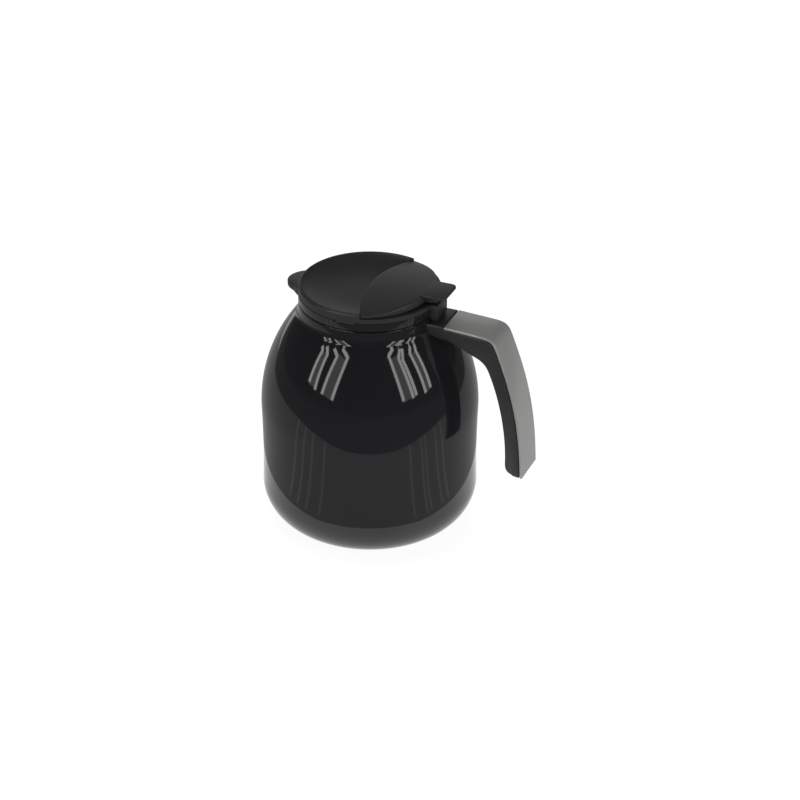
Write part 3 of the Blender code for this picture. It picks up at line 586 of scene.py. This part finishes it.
def add_beak(cover):
    """The pouring beak, a sloping tongue with a flat channel that opens at its tip."""
    tongue = upright("tongue", beak_outline(), BAND_BOTTOM, 182 * MM)
    wide = 25 * MM
    inner = -30 * MM
    root = -CREST_RADIUS - 0.6 * MM
    slope = (BEAK_ROOT_TOP - BEAK_TOP_TIP) / (root + BEAK_TIP)
    above = [(root, BEAK_ROOT_TOP), (BEAK_END, BEAK_ROOT_TOP + (BEAK_END - root) * slope)]
    above += [(BEAK_END, CUT_TOP), (inner, CUT_TOP), (inner, BEAK_ROOT_TOP)]
    cut(tongue, sideways("above_beak", above, -wide, wide))
    lip = -BAND_RADIUS - 0.6 * MM
    low_slope = (BEAK_BOTTOM_TIP - BAND_BOTTOM) / (lip + BEAK_TIP)
    below = [(lip, BAND_BOTTOM), (lip, CUT_BOTTOM), (BEAK_END, CUT_BOTTOM)]
    below += [(BEAK_END, BAND_BOTTOM + (lip - BEAK_END) * low_slope)]
    cut(tongue, sideways("below_beak", below, -wide, wide))
    round_edges(tongue, 0.45 * MM, 3)
    join(cover, tongue)
    cut(cover, sideways("beak_channel", mm(*CHANNEL), -CHANNEL_HALF_WIDTH, CHANNEL_HALF_WIDTH))


def add_lever_bed(cover):
    """The lowered rim, tray, bearing ears and stem guide under the lever."""
    far = 60 * MM
    edge = LENS_RADIUS + LEVER_CLEARANCE
    bed = [(far, -far)] + arc((LENS_CENTRE_X, 0), edge, 180 + BED_HALF_ANGLE, 180 - BED_HALF_ANGLE, 61)
    cut(cover, upright("lever_bed", bed + [(far, far)], LOW_RIM_Z, CUT_TOP))
    tray = upright("tray", lens_outline(TRAY_INSET, TRAY_REAR), TRAY_BOTTOM, 178 * MM)
    combine(tray, "INTERSECT", below_dish("tray_limit", -0.1 * MM, 47 * MM, LOW_RIM_Z))
    join(cover, tray)
    hollow = lens_outline(TRAY_INSET + TRAY_WALL, TRAY_REAR - TRAY_WALL)
    cut(cover, upright("tray_hollow", hollow, TRAY_FLOOR, 185 * MM))
    for side in (-1, 1):
        foot = [(PIVOT.x - EAR_RADIUS, EAR_FOOT), (PIVOT.x + EAR_RADIUS, EAR_FOOT)]
        ear = foot + arc((PIVOT.x, PIVOT.z), EAR_RADIUS, 0, 180, 25)
        low, high = sorted((side * EAR_INNER, side * EAR_OUTER))
        join(cover, sideways("ear", ear, low, high))
    start = (PIVOT.x, -AXLE_HALF, PIVOT.z)
    end = (PIVOT.x, AXLE_HALF, PIVOT.z)
    cut(cover, rod("ear_hole", start, end, PIN_RADIUS + GAP))
    guide_top = (VALVE_X, 0, TRAY_FLOOR + 2 * MM)
    cut(cover, rod("stem_guide", (VALVE_X, 0, TRAY_BOTTOM - 2 * MM), guide_top, 2.35 * MM))


def make_cover(mats):
    crest = arc((CREST_RADIUS, RIM_Z - CREST_ROUNDING), CREST_ROUNDING, 84, 0, 9)
    rim = crest + [(RIM_RADIUS, BAND_TOP + SEAM), (SKIRT_OUTER, BAND_TOP + SEAM)]
    skirt = [(SKIRT_OUTER, BAND_BOTTOM + GAP), (SKIRT_INNER, BAND_BOTTOM + GAP)]
    under = [(SKIRT_INNER, dish_height(SKIRT_INNER) - DISH_WALL)]
    under += [(r, z - DISH_WALL) for r, z in reversed(dish_line(0)[:-1]) if r < SKIRT_INNER - 1 * MM]
    cover = turned("cover", dish_line(0) + rim + skirt + under)
    add_beak(cover)
    add_lever_bed(cover)
    for index, top in enumerate(BOSS_TOPS):
        angle = math.tau * index / len(BOSS_TOPS)
        x = SCREW_CIRCLE * math.cos(angle)
        y = SCREW_CIRCLE * math.sin(angle)
        join(cover, rod("boss", (x, y, FLANGE_TOP + GAP), (x, y, top), BOSS_RADIUS))
        cut(cover, rod("boss_hole", (x, y, FLANGE_TOP - 1 * MM), (x, y, BOSS_HOLE_TOP), BOSS_HOLE))
    use(cover, "lid", "charcoal", mats["charcoal"], "lid_cover")


def make_band(mats):
    lip = 0.4 * MM
    profile = [(BAND_INNER, BAND_BOTTOM)]
    profile += arc((BAND_RADIUS - lip, BAND_BOTTOM + lip), lip, -90, 0, 5)
    profile += [(BAND_RADIUS, BAND_TOP - SEAM), (BAND_RADIUS - SEAM, BAND_TOP), (BAND_INNER, BAND_TOP)]
    band = turned("band", profile, FINER)
    half = BEAK_FLARE + 0.6 * MM
    cut(band, block("beak_notch", (BEAK_END, -half, 160 * MM), (-20 * MM, half, 180 * MM)))
    use(band, "lid", "gloss_black", mats["gloss_black"], "lid_band")

    low = (46.9 * MM, -REST_HALF_WIDTH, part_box("lid_band")[0][2])
    rest = block("rest", low, (REST_END, REST_HALF_WIDTH, LOW_RIM_Z))
    round_edges(rest, 0.5 * MM, 3)
    cut(rest, rod("rest_inner", (0, 0, 160 * MM), (0, 0, BAND_BOTTOM), 49.1 * MM, FINE))
    cut(rest, rod("rest_band", (0, 0, 165 * MM), (0, 0, BAND_TOP + 0.2 * MM), BAND_RADIUS + 0.02 * MM, FINE))
    cut(rest, rod("rest_rim", (0, 0, BAND_TOP), (0, 0, 180 * MM), RIM_RADIUS + 0.1 * MM, FINE))
    use(rest, "lid", "charcoal", mats["charcoal"])


def plate_top(x, y):
    """The lever plate's upper face: level along its front edge, rising to the tab and crowned across."""
    rise = LENS_SLOPE * (x - (LENS_CENTRE_X - LENS_RADIUS))
    return LENS_FRONT_Z + rise - y * y / (2 * LENS_CROWN)


def crowned(name, outline, bottom, drop, edge):
    """A solid on the outline whose top follows the lever plate, lowered by drop, with a round top edge."""
    bm = bmesh.new()
    centre = Vector((LENS_REAR / 2, 0))
    rings = [(0.0, None)]
    rings += [(edge * (1 - math.cos(t)), edge * (1 - math.sin(t))) for t in (0, 0.4, 0.8, 1.2, math.pi / 2)]
    rings += [(share, 0.0) for share in (0.15, 0.35, 0.6, 0.85)]
    loops = []
    for order, (inward, low) in enumerate(rings):
        loop = []
        for x, y in outline:
            way = centre - Vector((x, y))
            moved = inward * way if order > 5 else way.normalized() * min(inward, way.length)
            px, py = x + moved.x, y + moved.y
            z = bottom if low is None else plate_top(px, py) - drop - low
            loop.append(bm.verts.new((px, py, z)))
        loops.append(loop)
    count = len(outline)
    for lower, upper in zip(loops, loops[1:]):
        for i in range(count):
            bm.faces.new((lower[i], lower[(i + 1) % count], upper[(i + 1) % count], upper[i]))
    tip = bm.verts.new((centre.x, centre.y, plate_top(centre.x, centre.y) - drop))
    for i in range(count):
        bm.faces.new((loops[-1][i], loops[-1][(i + 1) % count], tip))
    bm.faces.new(list(reversed(loops[0])))
    return finish(bm, name)


def make_lever(mats):
    plate = crowned("lever", lens_outline(0, LENS_REAR, LENS_REAR_X), 160 * MM, 0, 0.9 * MM)
    inside = lens_outline(LENS_WALL, LENS_REAR - LENS_WALL, LENS_REAR_X)
    cut(plate, crowned("plate_hollow", inside, 158 * MM, LENS_THICK, 0.3 * MM))
    clearance = below_dish("closed_clearance", LEVER_CLEARANCE, 55 * MM, LOW_RIM_Z)
    clearance.rotation_euler.z = math.pi / FINE
    bpy.context.view_layer.update()
    cut(plate, clearance)

    tab_outline = [(TAB_START, -TAB_HALF_WIDTH)]
    tab_outline += arc((TAB_END - TAB_CORNER, -TAB_HALF_WIDTH + TAB_CORNER), TAB_CORNER, -90, 0, 15)
    tab_outline += arc((TAB_END - TAB_CORNER, TAB_HALF_WIDTH - TAB_CORNER), TAB_CORNER, 0, 90, 15)
    tab_outline += [(TAB_START, TAB_HALF_WIDTH)]
    tab = upright("thumb_tab", tab_outline, TAB_TOP - TAB_THICK, TAB_TOP)
    round_edges(tab, 0.6 * MM, 4)
    join(plate, tab)
    root_low = (TAB_START + 1 * MM, -REST_HALF_WIDTH, TAB_ROOT_Z)
    join(plate, block("tab_root", root_low, (REST_END, REST_HALF_WIDTH, TAB_TOP - 1 * MM)))

    start = PIVOT.x - 2 * MM
    low = LOW_RIM_Z + 0.4 * MM
    length = 30 * MM
    relief = [(start, 155 * MM), (start + length, 155 * MM)]
    relief += [(start + length, low + math.tan(PRESS_ANGLE) * length), (start, low)]
    cut(plate, sideways("pressed_clearance", relief, -50 * MM, 50 * MM))

    for side in (-1, 1):
        top = [(PIVOT.x + EAR_RADIUS, 180.2 * MM), (PIVOT.x - EAR_RADIUS, 180.0 * MM)]
        lug = arc((PIVOT.x, PIVOT.z), EAR_RADIUS, 180, 360, 25) + top
        low, high = sorted((side * LUG_INNER, side * LUG_OUTER))
        join(plate, sideways("lug", lug, low, high))
    hole_start = (PIVOT.x, -AXLE_HALF, PIVOT.z)
    hole_end = (PIVOT.x, AXLE_HALF, PIVOT.z)
    cut(plate, rod("pivot_hole", hole_start, hole_end, PIN_RADIUS + 0.07 * MM, 48))

    fork_bottom = STEM_HEAD_Z - FORK_DEPTH
    web_low = (WEB_LOW_X, -5 * MM, fork_bottom)
    join(plate, block("web", web_low, (WEB_HIGH_X, 5 * MM, WEB_TOP)))
    for side in (-1, 1):
        low, high = sorted((side * PRONG_INNER, side * PRONG_OUTER))
        prong_low = (PRONG_LOW_X, low, fork_bottom + 0.2 * MM)
        join(plate, block("prong", prong_low, (PRONG_HIGH_X, high, STEM_HEAD_Z - GAP)))
    use(plate, "lever", "charcoal", mats["charcoal"], "pour_lever")


def make_spring(mats):
    """The valve's spring, a coil of wire round the valve stem."""
    steps = SPRING_TURNS * 40
    bm = bmesh.new()
    rings = []
    for i in range(steps + 1):
        share = i / steps
        angle = math.tau * SPRING_TURNS * share
        outward = Vector((math.cos(angle), math.sin(angle), 0))
        height = SPRING_BOTTOM + (SPRING_TOP - SPRING_BOTTOM) * share
        centre = Vector((VALVE_X, 0, height)) + outward * SPRING_RADIUS
        ring = []
        for k in range(12):
            turn = math.tau * k / 12
            offset = outward * math.cos(turn) + Vector((0, 0, math.sin(turn)))
            ring.append(bm.verts.new(centre + offset * SPRING_WIRE))
        rings.append(ring)
    for low, high in zip(rings, rings[1:]):
        for k in range(12):
            bm.faces.new((low[k - 1], low[k], high[k], high[k - 1]))
    bm.faces.new(rings[0])
    bm.faces.new(rings[-1])
    spring = finish(bm, "spring")
    use(spring, "lid", "steel", mats["steel"], "valve_spring")
    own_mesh(spring)


# ---- Studio ---------------------------------------------------------------------------------------------


def glow(name, colour, radiance, reflected_only=True, base=0.0):
    """A plain emitting material."""
    mat = bpy.data.materials.new(name)
    mat.use_nodes = True
    shader = mat.node_tree.nodes["Principled BSDF"]
    shader.inputs["Base Color"].default_value = (base, base, base, 1)
    shader.inputs["Roughness"].default_value = 0.5
    shader.inputs["Specular IOR Level"].default_value = 0.0 if reflected_only else 0.3
    shader.inputs["Emission Color"].default_value = (*colour, 1)
    shader.inputs["Emission Strength"].default_value = radiance
    return mat


def reflected_only(obj):
    """Studio lamps and painted reflections that only show in reflections."""
    obj.visible_camera = obj.visible_diffuse = obj.visible_shadow = obj.visible_transmission = False


def make_floor():
    corners = ((-1, -1), (1, -1), (1, 1), (-1, 1))
    bm = bmesh.new()
    bm.faces.new([bm.verts.new((x * FLOOR_HALF, y * FLOOR_HALF, 0)) for x, y in corners])
    floor = finish(bm, "floor")
    floor.location.z = -0.2 * MM
    floor.data.materials.append(glow("pale floor", (1.0, 1.0, 1.0), FLOOR_GLOW, False, 0.25))


def flag_place(across, towards):
    """A point on the floor, measured across the camera's view and towards the camera."""
    right = Vector((math.cos(CAMERA_AZIMUTH), math.sin(CAMERA_AZIMUTH), 0))
    return right * across + Vector(TO_CAMERA) * towards


def make_dark_reflection_flag():
    """A dark sheet on the floor in front of the jug, with an opening around it, whose faint glow is a painted dark
    reflection. Only reflections show it.
    """
    bm = bmesh.new()
    rows = []
    for i in range(65):
        a = math.pi * i / 64
        c, s = math.cos(a), math.sin(a)
        reach = ((abs(c) / FLAG_HALF_WIDTH) ** 3 + (s / FLAG_DEPTH) ** 3) ** (-1 / 3)
        rows.append([flag_place(c * far, s * far - FLAG_BACK) for far in (reach, FLAG_FAR)])
    for side, (near, far) in ((1, rows[0]), (-1, rows[-1])):
        across = side * FLAG_FAR * math.sin(BACKDROP_HALF_ANGLE)
        corner = near + flag_place(across, -FLAG_FAR * math.cos(BACKDROP_HALF_ANGLE))
        bm.faces.new([bm.verts.new((p.x, p.y, 1 * MM)) for p in (near, far, corner)])
    rows = [[bm.verts.new((p.x, p.y, 1 * MM)) for p in row] for row in rows]
    for low, high in zip(rows, rows[1:]):
        bm.faces.new((low[0], low[1], high[1], high[0]))
    flag = finish(bm, "dark_reflection_flag")
    # Faint glow that paints a dark floor into the jug's reflections
    flag.data.materials.append(glow("painted dark reflection", (1.0, 1.0, 1.0), DARK_REFLECTION_RADIANCE))
    reflected_only(flag)


def floor_ring(name, height, radii, start, end, radiance):
    """A flat ring from bearing start to end that replaces the floor in reflections."""
    steps = max(2, round(abs(end - start) / 4))
    bm = bmesh.new()
    rows = []
    for i in range(steps + 1):
        way = direction(start + (end - start) * i / steps, 0)
        rows.append([bm.verts.new((way.x * r, way.y * r, height)) for r in radii])
    for low, high in zip(rows, rows[1:]):
        bm.faces.new((low[0], low[1], high[1], high[0]))
    ring = finish(bm, name)
    ring.data.materials.append(glow(name + " glow", (1.0, 1.0, 1.0), radiance))
    reflected_only(ring)


def make_floor_sheets():
    """Painted reflections of the floor: a dim grey ring round the jug, and painted reflections of the light tubes
    in it.
    """
    # Painted dim floor reflection round the jug
    floor_ring("dim_floor_reflection", 0.4 * MM, SHEET_RING, 0, 360, DIM_FLOOR_REFLECTION_RADIANCE)
    # Painted reflections of the light tubes in the floor, one under each tube
    for number, corners in enumerate(STRIPS):
        start = corners[0][0] - TUBE_REFLECTION_HALF_ANGLE
        end = corners[0][0] + TUBE_REFLECTION_HALF_ANGLE
        floor_ring(f"streak_{number + 1}", 0.7 * MM, TUBE_REFLECTION_RING, start, end, TUBE_REFLECTION_RADIANCE)


def direction(azimuth, elevation):
    """The unit vector with this bearing and elevation in degrees."""
    a, e = math.radians(azimuth), math.radians(elevation)
    return Vector((math.cos(a) * math.cos(e), math.sin(a) * math.cos(e), math.sin(e)))


def light_strip(name, corners, width, radiance, distance=STRIP_DISTANCE):
    """A bent light tube around the jug through corners, which are bearings and elevations in degrees."""
    path = []
    for (az0, el0), (az1, el1) in zip(corners, corners[1:]):
        path += [(az0 + (az1 - az0) * i / 8, el0 + (el1 - el0) * i / 8) for i in range(8)]
    path.append(corners[-1])
    ways = [direction(*point) for point in path]
    bm = bmesh.new()
    rows = []
    for i, way in enumerate(ways):
        along = ways[min(i + 1, len(ways) - 1)] - ways[max(i - 1, 0)]
        side = way.cross(along).normalized() * math.radians(width) / 2
        rows.append([bm.verts.new(STRIP_CENTRE + (way + side * k) * distance) for k in (-1, 1)])
    for low, high in zip(rows, rows[1:]):
        bm.faces.new((low[0], low[1], high[1], high[0]))
    strip = finish(bm, name)
    strip.data.materials.append(glow(name + " glow", (1.0, 0.99, 0.97), radiance))
    reflected_only(strip)


def make_light_strips():
    """Brackets of bent tubes on both sides of the camera, with a faint fill between the tubes of each."""
    for number, corners in enumerate(STRIPS):
        light_strip(f"strip_{number + 1}", corners, STRIP_WIDTH, STRIP_RADIANCE)
    for number, (first, second) in enumerate(STRIP_FILLS):
        a, b = STRIPS[first], STRIPS[second]
        middle = [((p[0] + q[0]) / 2, (p[1] + q[1]) / 2) for p, q in zip(a, b)]
        width = abs(a[0][0] - b[0][0])
        light_strip(f"fill_{number + 1}", middle[:2], width, FILL_RADIANCE, STRIP_DISTANCE + 0.05)
    light_strip("edge_lamp", EDGE_LAMP, EDGE_LAMP_WIDTH, EDGE_LAMP_RADIANCE)


def add_softbox(name, azimuth, elevation, distance, size, power):
    """A square softbox that faces the jug and doesn't show in reflections."""
    light = bpy.data.lights.new(name, "AREA")
    light.shape = "SQUARE"
    light.size = size
    light.energy = power
    obj = bpy.data.objects.new(name, light)
    way = direction(azimuth, elevation)
    obj.location = CAMERA_TARGET + way * distance
    obj.rotation_euler = way.to_track_quat("Z", "Y").to_euler()
    obj.visible_glossy = False
    bpy.context.collection.objects.link(obj)


def make_world():
    """White surroundings behind the jug, dark towards the camera's side."""
    world = bpy.data.worlds.new("studio")
    bpy.context.scene.world = world
    world.use_nodes = True
    nodes = world.node_tree.nodes
    links = world.node_tree.links
    back = nodes["Background"]
    place = nodes.new("ShaderNodeTexCoord")
    towards = nodes.new("ShaderNodeVectorMath")
    towards.operation = "DOT_PRODUCT"
    towards.inputs[1].default_value = TO_CAMERA
    ramp = nodes.new("ShaderNodeValToRGB")
    ramp.color_ramp.interpolation = "EASE"
    ramp.color_ramp.elements[0].position = BACKDROP_EDGE
    ramp.color_ramp.elements[0].color = (1, 1, 1, 1)
    ramp.color_ramp.elements[1].position = BACKDROP_END
    ramp.color_ramp.elements[1].color = (SURROUND, SURROUND, SURROUND, 1)
    half = nodes.new("ShaderNodeMapRange")
    half.inputs["From Min"].default_value = -1.0
    links.new(place.outputs["Generated"], towards.inputs[0])
    links.new(towards.outputs["Value"], half.inputs["Value"])
    links.new(half.outputs["Result"], ramp.inputs["Fac"])
    links.new(ramp.outputs["Color"], back.inputs["Color"])
    back.inputs["Strength"].default_value = WORLD_STRENGTH


def make_camera():
    data = bpy.data.cameras.new("camera")
    data.lens = CAMERA_LENS
    data.sensor_width = 36
    data.shift_x, data.shift_y = CAMERA_SHIFT
    camera = bpy.data.objects.new("camera", data)
    towards = Vector(TO_CAMERA) * math.cos(CAMERA_ELEVATION)
    towards.z = math.sin(CAMERA_ELEVATION)
    camera.location = CAMERA_TARGET + towards * CAMERA_DISTANCE
    camera.rotation_euler = towards.to_track_quat("Z", "Y").to_euler()
    bpy.context.collection.objects.link(camera)
    bpy.context.scene.camera = camera


def make_studio():
    make_floor()
    make_dark_reflection_flag()
    make_floor_sheets()
    make_light_strips()
    make_world()
    for softbox in SOFTBOXES:
        add_softbox(*softbox)
    bpy.context.scene.view_settings.view_transform = "Standard"


def main():
    mats = make_materials()
    dress_cad_nodes(mats)
    make_shell(mats)
    make_turned_pieces(mats)
    make_handle(mats)
    make_cover(mats)
    make_band(mats)
    make_lever(mats)
    make_spring(mats)
    make_studio()
    make_camera()


main()
